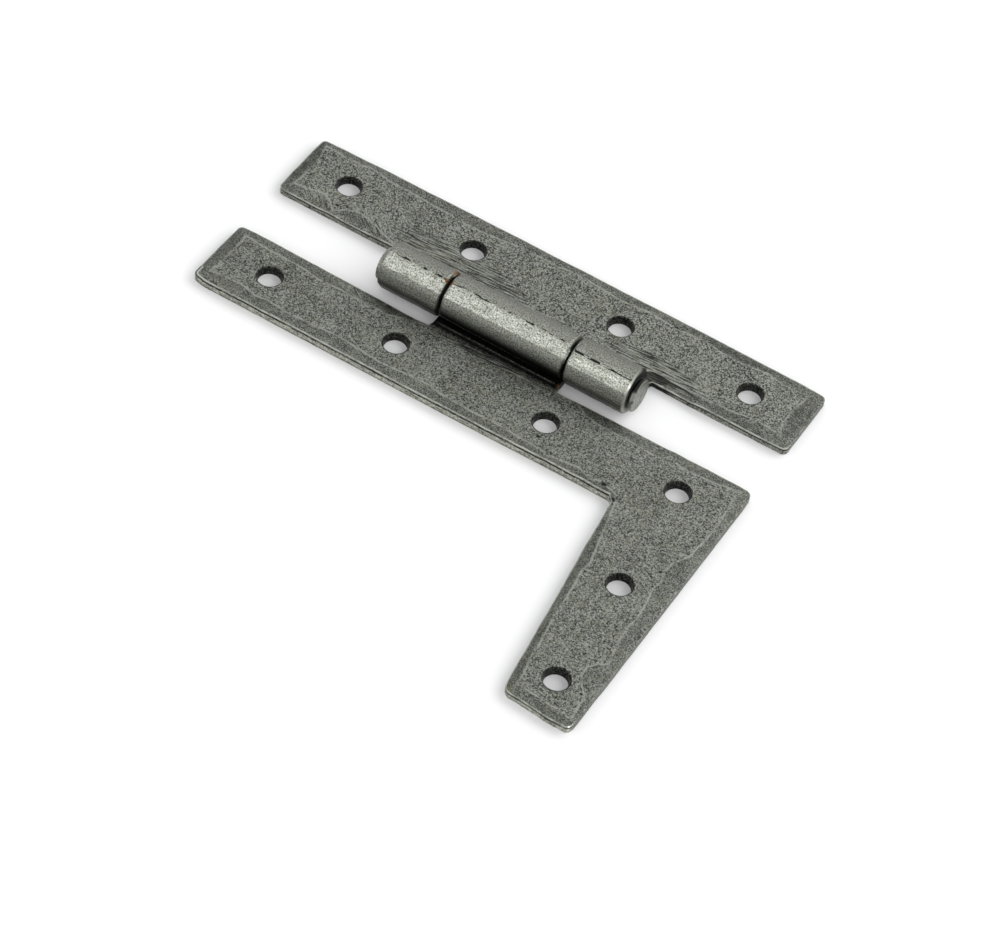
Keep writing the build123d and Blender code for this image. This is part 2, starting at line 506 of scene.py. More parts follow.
def side_ease(net):
    """Radii of the arcs at the front and at the back: EASE along the sides.

    A hole is broken out 0.12 mm wider at the front, and its back arc is 0.03 mm smaller.
    """
    punched = around_hole(net, straight_holes + angled_holes + arm_holes)
    return EASE + 0.12 * punched, EASE - 0.03 * punched


xs, patches = leaf_strip(straight_holes, ("left", "right"), STRAIGHT_NEAR, STRAIGHT_FAR)
patches += [tongue(xs, name, STRAIGHT_NEAR, 1) for name in ("left", "right")]
net, quads = weld(patches)
rim = rim_of(net, quads)
for x in (-STRIP_END, STRIP_END):
    for y, inward in ((STRAIGHT_NEAR, 1), (STRAIGHT_FAR, -1)):
        net = round_outward(net, (x, y), (-np.sign(x), inward), CORNER)
for name in ("left", "right"):
    for x, turn in zip(KNUCKLES[name], (-1, 1)):
        net = round_inward(net, rim, (x, STRAIGHT_NEAR), (turn, 0), (0, -1), NECK_CORNER)
net = draw_in(net, [
    ((BARREL_END, STRAIGHT_NEAR), (STRIP_END, STRAIGHT_NEAR), [
        (0, 0.1), (3, 0.1), (6, 0), (21, 0.05)]),
    ((STRIP_END, STRAIGHT_FAR), (-STRIP_END, STRAIGHT_FAR), [
        (0, 0.45), (0.8, 0.35), (2.8, 0.2), (4.8, 0.11), (8.8, 0.11), (12.8, 0.02), (20, 0), (38, 0),
        (42.8, 0.06), (50, 0), (58, 0), (64.8, 0.1), (70.8, 0.09), (74.8, 0.2), (79, 0.22), (83, 0.4)]),
    ((-STRIP_END, STRAIGHT_FAR), (-STRIP_END, STRAIGHT_NEAR), [
        (0, 0.45), (2.8, 0.3), (8.8, 0.3), (12.2, 0.4)])])
print("straight leaf net:", len(net), "points", len(quads), "quads")

straight_edges = [
    ((-STRIP_END, STRAIGHT_NEAR), (BARREL_START, STRAIGHT_NEAR), [
        (0.085, [(0, 1.6), (2, 1.9), (3.8, 2.1), (5, 2.45), (6.5, 2.8), (7.8, 2), (9, 0.6)]),
        (0.10, [(9, 0.6), (10.5, 1.8), (11.8, 2.4), (12.8, 2.55), (14.1, 2.4), (15.2, 2),
                (16.7, 1.33), (17.8, 0.95), (19.1, 0.5), (21, 0.3)])]),
    ((LEFT_END, STRAIGHT_NEAR), (RIGHT_START, STRAIGHT_NEAR), [
        (0.1, [(0, 0.5), (4, 1.2), (10, 1.5), (16, 1.2), (20.4, 0.5)])]),
    ((BARREL_END, STRAIGHT_NEAR), (STRIP_END, STRAIGHT_NEAR), [
        (0.30, [(-1.5, 1.75), (0.5, 1.7), (2.6, 1.5), (4, 1.45), (5.3, 1.4), (6.5, 1.1), (8, 0.4)]),
        (0.09, [(5.5, 1.5), (6.4, 1.6), (8.3, 1.45), (9.3, 1.57), (12.4, 1.76), (13.5, 2.06),
                (15.4, 2.3), (16.9, 2.26), (18.2, 2.07), (19.2, 1.87), (21.35, 1.2)])]),
    ((STRIP_END, STRAIGHT_NEAR), (STRIP_END, STRAIGHT_FAR), [
        (0.07, [(0, 1.2), (1, 1.6), (2.6, 2.3), (4, 2.8), (6.3, 2.7), (8.2, 2.5), (10.4, 2.1),
                (12.2, 1.3)])]),
    ((STRIP_END, STRAIGHT_FAR), (-STRIP_END, STRAIGHT_FAR), [
        (0.08, [(0, 1.2), (3, 1.7), (6, 1.9), (9, 1.4)]),
        (0.10, [(9, 1.4), (13, 1.9), (16, 1.8), (19, 1.3)]),
        (0.085, [(19, 1.3), (23, 1.7), (28, 1.3)]),
        (0.10, [(28, 1.3), (32, 1.8), (37.9, 1.24)]),
        (0.085, [(37.9, 1.24), (40.5, 1.26), (42.9, 1.6), (45.7, 1.46)]),
        (0.075, [(45.7, 1.46), (48.6, 1.48), (51.9, 2), (55, 2.3), (58.2, 2.36), (60.7, 2.13),
                 (63.3, 1.98)]),
        (0.09, [(63.3, 1.98), (66.1, 1.83), (68.2, 1.79), (70.1, 1.74), (71.9, 1.53), (73.9, 1.1)]),
        (0.12, [(73.9, 1.1), (75.3, 1.45), (77.9, 1.56), (80.2, 1.34), (83, 1.1)])]),
    ((-STRIP_END, STRAIGHT_FAR), (-STRIP_END, STRAIGHT_NEAR), [
        (0.10, [(0, 0.9), (1.4, 1.4), (2.5, 1.6), (3.5, 1.9), (5, 2), (7, 2), (9, 1.9), (10, 1.8),
                (11, 1.5), (12.2, 1.2)])]),
]
FLATS = [(31, 3.36), (-20, 3.42), (75, 3.4), (120, 3.4)]
EDGE_ZONE = 2.0


def rim_distance(net, rim, nearest, holes):
    """Distance in mm to the closest point of the outline, worked out only within 2 mm of an edge."""
    border = rim & (nearest < 1.2) & (around_hole(net, holes) == 0)
    close = nearest < EDGE_ZONE
    steps = net[close][:, None] - net[border][None]
    distance = np.full(len(net), EDGE_ZONE)
    distance[close] = np.sqrt((steps ** 2).sum(axis=-1)).min(axis=1)
    return distance


def faces_of(net, rim, side, edges, names, holes):
    """Return the front and back heights of a blank, and its masks for the material."""
    depth, values = beat(net, edges)
    values["rim"] = rim_distance(net, rim, values.pop("nearest"), holes)
    swell = 0.012 * waves(net[:, 0], 21, 17.0) + 0.008 * waves(net[:, 1] + net[:, 0] * 0.3, 22, 9.0)
    past = -side * net[:, 1]
    flatness = np.clip(-past / 3, 0, 1)
    front = FRONT - depth * flatness - np.maximum(0.01 + swell, 0) * flatness
    back = np.full(len(net), BACK)
    angle = np.degrees(np.maximum(past, 0) / NEUTRAL)
    lean = (180 - angle) if side > 0 else (angle - 180)
    outer = barrel_radius(lean, FLATS)
    values["lip"] = np.zeros(len(net))
    for name in names:
        start, end = KNUCKLES[name]
        on = (net[:, 0] > start - SAME_PLACE) & (net[:, 0] < end + SAME_PLACE) & (past > 0)
        drop = end_round(net[:, 0], start, end, END_ROUND) * np.clip(past / 1.5, 0, 1)
        dent = 0.02 * waves(net[:, 0] + angle / 20, 31, 4.0) + 0.02
        back = np.where(on, -(np.minimum(outer - np.clip(angle / 30, 0, 1) * dent, BARREL) - drop), back)
        if name == "right":
            values["lip"] = np.where(on, np.clip(1 - (end - net[:, 0]) / END_ROUND, 0, 1), 0.0)
    values["lean"] = np.where(past > 0, lean, OFF_BARREL)
    return front, back, values


def finish_leaf(name, net, quads, side, front, back, masks, holes):
    """Close a blank into a plate, roll its knuckles, and store the masks with the mesh.

    The value fall runs across the edge in millimetres: above zero inside the light edge line of
    the front face, zero on it, and further below zero the further down the wall. That line is partly
    wear and partly painted highlight.
    """
    points, faces, face, down, own = plate(net, quads, front, back, side_ease, side_bulge)
    masks = {key: data[own] for key, data in masks.items()}
    masks["fall"] = masks.pop("rim") * (1 - face) - masks.pop("inset") - SHEET * down
    masks.update(face=face, hole=around_hole(points, holes))
    print(name, "mesh:", len(points), "points", len(faces), "faces")
    return to_mesh(name, roll(points, side), faces.tolist(), masks)


front, back, masks = faces_of(net, rim, 1, straight_edges, ("left", "right"), straight_holes)
masks.update(shade=np.zeros(len(net)), inset=np.zeros(len(net)))
straight_plate = finish_leaf("straight_plate", net, quads, 1, front, back, masks, straight_holes)

# %% [markdown]
# ## The angled leaf
# The same kind of strip with the centre knuckle, and an arm that tapers to the foot. The arm is
# cut as a rectangle, its foot corners are rounded, and then its inner side is drawn in, so that
# the outer side stays in line with the strip's end. Where the sheet bends into the knuckle, the
# hammer left a small ridge, and the metal round it lies in shade.

# %% Cut and hammer the angled leaf's blank
ARM_LENGTH = ANGLED_FAR - FOOT
HALF_PATCH = 4.7
FOOT_CORNER, CROTCH, SHOULDER_CORNER = 1.2, 0.5, 0.2


def taper(net):
    """Draw in the arm's inner side: x moves towards the outer side by the width's share lost."""
    down = np.clip(ANGLED_FAR - net[:, 1], 0, ARM_LENGTH) / ARM_LENGTH
    share = 1 - (1 - ARM_FOOT / ARM_ROOT) * down
    return np.column_stack([STRIP_END - (STRIP_END - net[:, 0]) * share, net[:, 1]])


def soften_foot(net):
    """Round both corners of the foot, then taper the arm."""
    net = round_outward(net, (STRIP_END, FOOT), (-1, 1), FOOT_CORNER)
    net = round_outward(net, (STRIP_END - ARM_ROOT, FOOT), (1, 1), FOOT_CORNER)
    return taper(net)


CREASE, FIRST_FOLD = -3.5, -1.4
RIDGE_HEIGHT, RIDGE_WIDTH = 0.12, 0.12
SHADE_START, SHADE_END = -10.1, 10.75
LINE_INSET = 0.33
SHOULDERS = (-9.75, 10.4)
xs, patches = leaf_strip(angled_holes, ("centre",), ANGLED_FAR, ANGLED_NEAR,
                         (STRIP_END - ARM_ROOT, *SHOULDERS))
folds = [FIRST_FOLD] + [CREASE + v for v in (-0.24, -0.12, 0, 0.12, 0.24)]
patches.append(tongue(xs, "centre", ANGLED_NEAR, -1, folds))
tongue_ys = stations(np.array(sorted([ANGLED_NEAR, *folds])))
for low, high in ((SHOULDERS[0], CENTRE_START), (CENTRE_END, SHOULDERS[1])):
    patches.append(plain_patch(between(xs, low, high), tongue_ys))
arm_xs = between(xs, STRIP_END - ARM_ROOT, STRIP_END)
stops = [ANGLED_FAR]
for _, y in arm_holes:
    stops += [y + HALF_PATCH, y - HALF_PATCH]
stops += [FOOT]
arm_ys = stations(np.array(stops[::-1]))
for k, (high, low) in enumerate(zip(stops[:-1], stops[1:])):
    ys = between(arm_ys, low, high)
    if k % 2:
        patches.append(hole_patch(arm_xs, ys, arm_holes[k // 2], soften_foot))
    else:
        patches.append(plain_patch(arm_xs, ys, soften_foot))
net, quads = weld(patches)
rim = rim_of(net, quads)
for x, y, inward in ((-STRIP_END, ANGLED_FAR, (1, 1)), (-STRIP_END, ANGLED_NEAR, (1, -1)),
                     (STRIP_END, ANGLED_NEAR, (-1, -1))):
    net = round_outward(net, (x, y), inward, CORNER)
for x, turn in zip(SHOULDERS, (-1, 1)):
    net = round_inward(net, rim, (x, ANGLED_NEAR), (turn, 0), (0, 1), SHOULDER_CORNER)
arm_lean = (ARM_ROOT - ARM_FOOT) / ARM_LENGTH
net = round_inward(net, rim, (STRIP_END - ARM_ROOT, ANGLED_FAR), (-1, 0), (arm_lean, -1), CROTCH)
inner_root, inner_foot = (STRIP_END - ARM_ROOT, ANGLED_FAR), (STRIP_END - ARM_FOOT, FOOT)
net = draw_in(net, [
    ((-STRIP_END, ANGLED_FAR), inner_root, [
        (0, 0.3), (0.8, 0.24), (2, 0.03), (3, 0), (40, 0.02), (48, 0.06), (52, 0.12), (58.8, 0.19),
        (67.8, 0.15)]),
    (inner_root, inner_foot, [
        (0, 0.15), (2.8, 0.26), (6.8, 0.18), (9, 0.11), (20, 0.16), (30, 0.12), (34.8, 0.06),
        (36.7, 0.2)]),
    (inner_foot, (STRIP_END, FOOT), [(0, 0.6), (2.8, 0.48), (4.8, 0.32), (6.8, 0.1), (10.5, 0.15)]),
    ((STRIP_END, FOOT), (STRIP_END, ANGLED_NEAR), [
        (0, 0.15), (2.8, 0.07), (6.8, 0.1), (9, 0.02), (46, 0), (48.6, 0.1)]),
    ((STRIP_END, ANGLED_NEAR), (SHOULDERS[1], ANGLED_NEAR), [
        (0, 0.3), (0.8, 0.23), (2.8, 0.12), (7, 0.07), (13, 0.12), (18.8, 0.17), (23, 0.22),
        (26.3, 0.34), (28, 0.47), (29.5, 0.58), (31.1, 0.5)]),
    ((SHOULDERS[0], ANGLED_NEAR), (-STRIP_END, ANGLED_NEAR), [
        (0, 0.5), (2, 0.62), (4, 0.58), (5.5, 0.48), (9, 0.37), (13, 0.34), (17, 0.28), (21, 0.24),
        (27, 0.17), (29, 0.2), (30.8, 0.3), (31.75, 0.4)]),
    ((-STRIP_END, ANGLED_NEAR), (-STRIP_END, ANGLED_FAR), [
        (0, 0.35), (2.8, 0.21), (10.8, 0.14), (12.2, 0.16)])])
print("angled leaf net:", len(net), "points", len(quads), "quads")

angled_edges = [
    ((-STRIP_END, ANGLED_FAR), inner_root, [
        (0.12, [(0, 1.6), (2, 2.1), (3.26, 2.34), (4.2, 2.4)]),
        (0.08, [(4.2, 2.4), (5.06, 2.4), (6.6, 2.55), (8, 2.27), (9.5, 1.88)]),
        (0.10, [(9.5, 1.88), (11.3, 2.25), (14.2, 1.9)]),
        (0.085, [(14.2, 1.9), (16.8, 2), (18.4, 2.03), (20.5, 2.31), (23.5, 2.39), (25.6, 2.24),
                 (28, 2)]),
        (0.10, [(28, 2), (30, 1.8), (32.2, 2), (34.9, 2.3), (37.2, 2.3), (39.7, 1.9)]),
        (0.085, [(39.7, 1.9), (42.8, 1.78), (45.5, 1.75), (48.1, 1.95), (50, 1.78), (51.9, 1.61)]),
        (0.12, [(51.9, 1.61), (54.2, 1.67), (55.9, 1.5), (56.9, 1.13)]),
        (0.08, [(56.9, 1.13), (57.7, 1.44), (59.6, 1.6), (61.7, 1.9), (63.5, 1)]),
        (0.16, [(63.5, 0.8), (64.8, 1.5), (66.5, 1.2), (67.8, 0.8)])]),
    (inner_root, inner_foot, [
        (0.09, [(0, 0.6), (3, 1), (5, 1.2), (8, 1.5), (11.8, 1.86), (13.5, 1.4)]),
        (0.11, [(13.5, 1.4), (15.5, 1.44), (18.7, 1.41), (20.3, 1.32), (22.5, 1.25)]),
        (0.09, [(22.5, 1.25), (24.8, 1.27), (26.9, 1.37), (28.5, 1.27), (30.2, 1.18)]),
        (0.11, [(30.2, 1.18), (32.2, 1.44), (34, 1.44), (36.7, 1.2)])]),
    (inner_foot, (STRIP_END, FOOT), [
        (0.09, [(0, 1.6), (1.35, 2.4), (3, 2.2), (4.75, 2.1), (7.7, 1.75), (9.4, 1.53), (10.5, 1.1)])]),
    ((STRIP_END, FOOT), (STRIP_END, ANGLED_NEAR), [
        (0.12, [(0, 0.6), (4.1, 1.06), (6.6, 1.06), (8.5, 1.1)]),
        (0.035, [(5.5, 1), (7, 2.4), (8.5, 3.3), (10, 3.3), (11.2, 2.4), (12, 1.2)]),
        (0.09, [(8.5, 1), (10.6, 1.18), (12.4, 1.4), (14.2, 1.8), (15.9, 2.17), (18.4, 2.3),
                (20.6, 2.07)]),
        (0.075, [(20.6, 2.07), (23.5, 2.3), (25.9, 2.8), (28.1, 2.6)]),
        (0.03, [(27, 2.2), (28.1, 2.6), (29.6, 3), (31.6, 2.8), (33, 2), (34, 1.4)]),
        (0.12, [(27.5, 1.2), (29.2, 1.39), (31.4, 1.3), (32.5, 1.2)]),
        (0.10, [(32.5, 1.2), (33.8, 1.56), (35.2, 1.5), (37.1, 1.26), (38.8, 1.2)]),
        (0.12, [(38.8, 1.2), (40.8, 1.15), (43.1, 1.35), (44.8, 1.46), (46.1, 1.77), (48.6, 1.2)])]),
    ((STRIP_END, ANGLED_NEAR), (CENTRE_END, ANGLED_NEAR), [
        (0.09, [(0, 0.9), (2, 1), (3.4, 1.38), (5.6, 1.78), (8, 1.96), (10, 2), (11.5, 1.7), (12.2, 1)]),
        (0.10, [(12.2, 1), (13.2, 2.3), (14.7, 2.36), (16.4, 2.18), (18, 2.12), (20.4, 2.18),
                (22.3, 2.12), (23.9, 2.05), (25.5, 1.6), (27.5, 0.6)])]),
    ((CENTRE_START, ANGLED_NEAR), (-STRIP_END, ANGLED_NEAR), [
        (0.10, [(0, 0.3), (3, 1.2), (6.3, 2.28), (8.2, 2.23), (9.8, 2.27), (11.8, 2.41), (13, 2.3)]),
        (0.09, [(13, 2.3), (14.4, 2.28), (16.6, 2.43), (18.5, 2.28), (19.5, 2.1)]),
        (0.11, [(19.5, 2.05), (20.2, 2.01), (21.7, 1.95), (23.2, 1.89), (24.6, 1.92)]),
        (0.09, [(24.6, 1.92), (26.3, 1.86), (28.5, 1.7), (30, 1.6), (32.15, 1.3)])]),
    ((-STRIP_END, ANGLED_NEAR), (-STRIP_END, ANGLED_FAR), [
        (0.09, [(0, 1.3), (2, 2.1), (4.25, 2.06), (6.45, 2.08), (8.75, 1.96), (9.6, 1.8), (11, 1.6),
                (12.2, 1.4)])]),
]
front, back, masks = faces_of(net, rim, -1, angled_edges, ("centre",), angled_holes + arm_holes)
x, y = net.T
under_barrel = np.clip((x - CENTRE_START) / 0.8, 0, 1) * np.clip((CENTRE_END - x) / 0.8, 0, 1)
front = front + RIDGE_HEIGHT * under_barrel * np.exp(-((y - CREASE) / RIDGE_WIDTH) ** 2)
beside = np.clip((x - SHADE_START) / 0.35, 0, 1) * np.clip((SHADE_END - x) / 0.35, 0, 1)
# Painted shade on the plate in front of the centre knuckle, 40% weaker on the crease's ridge as a painted
# highlight there.
foot_shade = np.clip((y + 5.0) / 0.9, 0, 1) * (1 - 0.4 * np.exp(-((y - CREASE) / 0.11) ** 2))
barrel_shade = np.clip((masks["lean"] - 70) / 28, 0, 1)
masks["shade"] = beside * np.where(masks["lean"] < LARGEST_LEAN, barrel_shade, foot_shade)
masks["inset"] = LINE_INSET * ((y < -14) & (y > -18) & (x < 26))
angled_plate = finish_leaf("angled_plate", net, quads, -1, front, back, masks, angled_holes + arm_holes)

# %% [markdown]
# ## The pin
# A steel pin whose ends were hammered over the outer knuckles, so that it can't slide out. The
# blows fell from above, so each head sags below the axis. It is a profile turned round the X
# axis, and every ring of it may sit a little lower than the axis.

# %% Turn the pin
PIN = 2.15
HEAD_HEIGHT = 0.9
HEAD_SAG = 0.34


def turned(profile, count=64):
    """Turn rows of (x, radius, sag) about X: y = radius * cos(t), z = radius * sin(t) - sag.

    The first and last rows are single points.
    """
    t = np.arange(count) * 2 * np.pi / count
    x, radius, sag = profile[1:-1].T
    rings = np.stack([np.broadcast_to(x[:, None], (len(x), count)),
                      radius[:, None] * np.cos(t), radius[:, None] * np.sin(t) - sag[:, None]], -1)
    tips = [[profile[0, 0], 0, -profile[0, 2]], [profile[-1, 0], 0, -profile[-1, 2]]]
    points = np.concatenate([rings.reshape(-1, 3), tips])
    i = np.arange(len(x) * count).reshape(len(x), count)
    j = np.roll(i, -1, axis=1)
    quads = np.stack([i[:-1], i[1:], j[1:], j[:-1]], -1).reshape(-1, 4)
    start = np.stack([np.full(count, len(points) - 2), i[0], j[0]], -1)
    end = np.stack([np.full(count, len(points) - 1), j[-1], i[-1]], -1)
    return points, quads.tolist() + start.tolist() + end.tolist()


left, right = BARREL_START, BARREL_END
swing = np.radians(np.linspace(0, 90, 9))
face_rows = np.array([[0.03, 0.0], [0.015, 0.7], [0.0, 1.35], [0.0, 1.85]])
edge_rows = np.column_stack([0.3 * (1 - np.cos(swing)), 2.18 + 0.3 * np.sin(swing)])[1:]
rim_rows = np.array([[0.42, 2.5], [0.54, 2.5], [0.62, 2.47], [0.67, 2.4], [0.7, 2.2], [0.74, 2.06]])
head = np.concatenate([face_rows, edge_rows, rim_rows])
head = np.column_stack([head, np.full(len(head), HEAD_SAG)])
neck = np.array([[0.8, 2.05, 0.12], [0.88, 2.12, 0.03]])
body = np.column_stack([np.linspace(left + 0.1, right - 0.1, 40), np.full(40, PIN), np.zeros(40)])
near_end = np.concatenate([head, neck])
profile = np.concatenate([near_end + [left - HEAD_HEIGHT, 0, 0], body,
                          (near_end * [-1, 1, 1] + [right + HEAD_HEIGHT, 0, 0])[::-1]])
points, faces = turned(profile)
depth = (right - left) / 2 + HEAD_HEIGHT - np.abs(points[:, 0] - (left + right) / 2)
around = np.degrees(np.arctan2(-points[:, 1], points[:, 2] + HEAD_SAG))
# The mask end is one where the pin keeps its steel colour: its end faces, the right head's near side and
# the whole left head; elsewhere it is painted shade.
near_side = np.maximum(np.clip((around - 34) / 12, 0, 1), points[:, 0] < 0) * (depth < 0.74)
turned_pin = to_mesh("turned_pin", points, faces, {"end": np.where(depth < 0.12, 1.0, near_side)})
print("pin from", round(left - HEAD_HEIGHT, 2), "to", round(right + HEAD_HEIGHT, 2), "mm")

# %% [markdown]
# Each new surface stands for one CAD node and rides on that node's body, so the hinge still
# folds about its pin.

# %% Put each surface in place of its CAD node
for piece, node, body_name, slot_name in (
        (straight_plate, "straight_leaf", "straight_leaf", "straight_leaf_steel"),
        (angled_plate, "angled_leaf", "angled_leaf", "angled_leaf_steel"),
        (turned_pin, "hinge_pin", "straight_leaf", "pin_steel")):
    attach(piece, body_name)
    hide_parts(node)
    print(piece.name, "rides on", body_name)

# %% [markdown]
# ## Finishes
# Materials are built from nodes. A field is a value that a node works out at every point of a
# surface. Arithmetic on fields adds math nodes, so a finish reads like a row of sums.

# %% Fields, and the nodes that make them
class Field:
    """The output of a node. Adding, subtracting or multiplying fields adds a math node."""

    def __init__(self, tree, socket):
        self.tree = tree
        self.socket = socket

    def __add__(self, other):
        return calc("ADD", self, other)

    def __sub__(self, other):
        return calc("SUBTRACT", self, other)

    def __rsub__(self, other):
        return calc("SUBTRACT", other, self)

    def __mul__(self, other):
        return calc("MULTIPLY", self, other)

    __radd__ = __add__
    __rmul__ = __mul__


def feed(socket, value):
    """Connect a field to a socket, or set a plain value on it."""
    if isinstance(value, Field):
        value.tree.links.new(value.socket, socket)
    else:
        socket.default_value = value


def add(tree, kind, output, inputs, **settings):
    """Add a node with its settings, feed its inputs, and return one of its outputs as a field."""
    node = tree.nodes.new(kind)
    for key, value in settings.items():
        setattr(node, key, value)
    for key, value in inputs.items():
        feed(node.inputs[key], value)
    return Field(tree, node.outputs[output])


def tree_of(*values):
    """Return the node tree of the first field among some values."""
    return next(value.tree for value in values if isinstance(value, Field))


def calc(operation, a, b=0.0, clamp=False):
    """Add a math node for a and b, of which one at least is a field."""
    return add(tree_of(a, b), "ShaderNodeMath", 0, {0: a, 1: b}, operation=operation, use_clamp=clamp)


def new_material(name, metallic, roughness):
    """Make a material with a principled shader; returns the material, its tree and the shader."""
    material = bpy.data.materials.new(name)
    material.use_nodes = True
    shader = material.node_tree.nodes["Principled BSDF"]
    shader.inputs["Metallic"].default_value = metallic
    shader.inputs["Roughness"].default_value = roughness
    return material, material.node_tree, shader


def ramp(value, low, high, to_low=0.0, to_high=1.0):
    """Map low..high smoothly on to to_low..to_high."""
    inputs = dict(enumerate((value, low, high, to_low, to_high)))
    return add(value.tree, "ShaderNodeMapRange", 0, inputs, interpolation_type="SMOOTHSTEP")


def line_at(value, half, soft):
    """One where a value is within half of zero, fading out at soft."""
    return ramp(calc("ABSOLUTE", value), half, soft, 1.0, 0.0)


def largest(a, b):
    """Return the greater of two fields at every point."""
    return calc("MAXIMUM", a, b)


def mix(share, a, b):
    """Mix two colours; at least one of the three is a field."""
    inputs = {"Factor": share, "A": a, "B": b}
    return add(tree_of(share, a, b), "ShaderNodeMix", "Result", inputs, data_type="RGBA")


def mapped(tree, place, turn, size):
    """Object coordinates measured from a place, turned about Z, in units of a size in metres."""
    inputs = {"Vector": add(tree, "ShaderNodeTexCoord", "Object", {}), "Location": place,
              "Rotation": (0, 0, np.radians(turn)), "Scale": size}
    return add(tree, "ShaderNodeMapping", 0, inputs, vector_type="TEXTURE")


def object_mm(tree, scale=(1, 1, 1), turn=0.0):
    """Object coordinates in millimetres, turned about Z by an angle and then scaled."""
    return mapped(tree, (0, 0, 0), turn, [0.001 / s for s in scale])


def part(vector, axis):
    """One coordinate of a vector field."""
    return add(vector.tree, "ShaderNodeSeparateXYZ", axis, {0: vector})


def joined(x, y):
    """A vector field from two coordinates."""
    return add(x.tree, "ShaderNodeCombineXYZ", 0, {"X": x, "Y": y})


def place_x(tree):
    """Place along the pin in millimetres."""
    return part(add(tree, "ShaderNodeTexCoord", "Object", {}), "X") * 1000.0


def mask(tree, key):
    """Read one of the named values that were stored with the mesh."""
    return add(tree, "ShaderNodeAttribute", "Fac", {}, attribute_name=key)


def noise(vector, scale, detail=2.0, rough=0.5, distortion=0.0):
    """Add a noise texture; with millimetre coordinates, its features are about 1 / scale mm."""
    return add(vector.tree, "ShaderNodeTexNoise", "Fac", {
        "Vector": vector, "Scale": scale, "Detail": detail, "Roughness": rough, "Distortion": distortion})


def swing_of(value, gain):
    """Return how far a noise is from its middle, times gain."""
    return (value - 0.5) * gain


def grey(value, warm=0.0):
    """A pewter grey: equal light in all channels, a little green, and warmer if asked."""
    return (value * (0.985 + warm), value * (1.02 + warm * 0.4), value * (0.91 - warm), 1)


def tones(value, low, high, stops):
    """Look a value up in a row of (value, grey) stops, with straight steps between them."""
    node = value.tree.nodes.new("ShaderNodeValToRGB")
    points = node.color_ramp.elements
    while len(points) < len(stops):
        points.new(1.0)
    for point, (place, tone) in zip(points, stops):
        point.position = (place - low) / (high - low)
        point.color = grey(tone)
    feed(node.inputs["Fac"], calc("DIVIDE", value - low, high - low, clamp=True))
    return Field(value.tree, node.outputs["Color"])


def spot(tree, centre, size, turn=0.0, soft=0.5):
    """One inside an ellipse, fading to zero at its border; centre and half sizes in millimetres.

    With three numbers each it is an ellipsoid, and with two it goes through the whole sheet.
    """
    at = mapped(tree, [v / 1000 for v in (*centre, 0)[:3]], turn, [v / 1000 for v in (*size, 1000)[:3]])
    away = add(tree, "ShaderNodeVectorMath", "Value", {0: at}, operation="LENGTH")
    return ramp(away, soft, 1.0, 1.0, 0.0)


def spots(tree, marks):
    """One inside any of several spots."""
    most, *others = [spot(tree, *mark) for mark in marks]
    for other in others:
        most = largest(most, other)
    return most


# %% [markdown]
# The steel has been darkened and then rubbed, so high places are lighter than low ones; the light
# lines on ridges and edges are partly that wear and partly painted highlight. Fine speckle comes
# from two noises, and two wide ones shade it in clouds. Where the leaf was filed or ground, the
# speckle gives way to a noise that is drawn out along the strokes.

# %% The flat faces: speckle, clouds, grinding strokes and marks
OLIVE, TAN = (0.185, 0.18, 0.125, 1), (0.22, 0.205, 0.145, 1)
LOW_BROWN, RUST, MUD = (0.12, 0.09, 0.06, 1), (0.17, 0.078, 0.026, 1), (0.12, 0.105, 0.045, 1)


def sheet_colour(tree, coarse, fine, ground, filed, marks):
    """Colour of the flat faces and the beaten border.

    ground and filed are masks of the stroke zones, marks are dark spots and scratches.
    """
    at = object_mm(tree)
    strokes = noise(object_mm(tree, (0.35, 6.4, 1), 4), 1.0, 2.0, 0.5, 0.2)
    scored = noise(object_mm(tree, (0.35, 3.4, 1), -38), 1.0, 1.0, 0.5, 0.3)
    tone = 0.5 + swing_of(noise(at, 2.8, 2.0, 0.65), coarse) + swing_of(noise(at, 5.2, 1.0), fine)
    tone = tone * (1.0 - ground * 0.6) + ground * (0.2 + swing_of(strokes, 4.4))
    tone = tone + filed * swing_of(scored, 3.2)
    tone = tone + swing_of(noise(at, 0.2, 3.0, 0.55), 0.45) + swing_of(noise(at, 0.7), 0.35)
    colour = tones(tone, 0.0, 1.0, [(0, 0.03), (0.25, 0.075), (0.45, 0.14), (0.62, 0.185), (1, 0.3)])
    colour = mix(ramp(noise(at, 1.1, 3.0, 0.6), 0.52, 0.68, 0.0, 0.3), colour, OLIVE)
    width = mask(tree, "reach")
    reach = width + swing_of(noise(at, 1.5), 0.35)
    beaten = ramp(reach, 0.0, 0.2, 0.0, 0.26) - ramp(reach, 0.6, 1.4, 0.0, 0.12)
    mottle = ramp(noise(at, 1.9, 3.0, 0.7), 0.5, 0.62, 0.0, 0.4)
    beaten = beaten + mottle * ramp(reach, 0.1, 1.0)
    # Painted shade on the beaten border where its slope faces left, away from the light.
    leftward_shade = ramp(mask(tree, "way"), 0.6, 1.0, 0.0, 0.4) * ramp(reach, 0.0, 0.3)
    colour = mix(largest(beaten, leftward_shade), colour, grey(0.05))
    # Light lines along the beaten border's inner edge and on ridges between blows: partly rubbed wear,
    # partly painted highlight.
    ridge = ramp(mask(tree, "gap"), 0.0, 0.014, 1.0, 0.0)
    rubbed_and_sheen = largest(line_at(reach + 0.04, 0.05, 0.24), ridge)
    rubbed_and_sheen = rubbed_and_sheen * ramp(noise(at, 0.6), 0.36, 0.58, 0.3, 1.0)
    colour = mix(rubbed_and_sheen * 0.74, colour, grey(0.3))
    # Painted shade on the steep blows right of the barrel: near-black across the slope next to the
    # knuckle, and further right mostly along its inner border.
    steep_shade_reach = ramp(width - ramp(place_x(tree), 20.6, 23.0, 1.9, 0.3), -0.12, 0.15, 1.0, 0.12)
    steep = mask(tree, "steep") * ramp(width, 0.0, 0.12) * steep_shade_reach * ramp(strokes, 0.3, 0.62, 1.0, 0.7)
    return mix(marks, mix(steep, colour, grey(0.016)), grey(0.02))
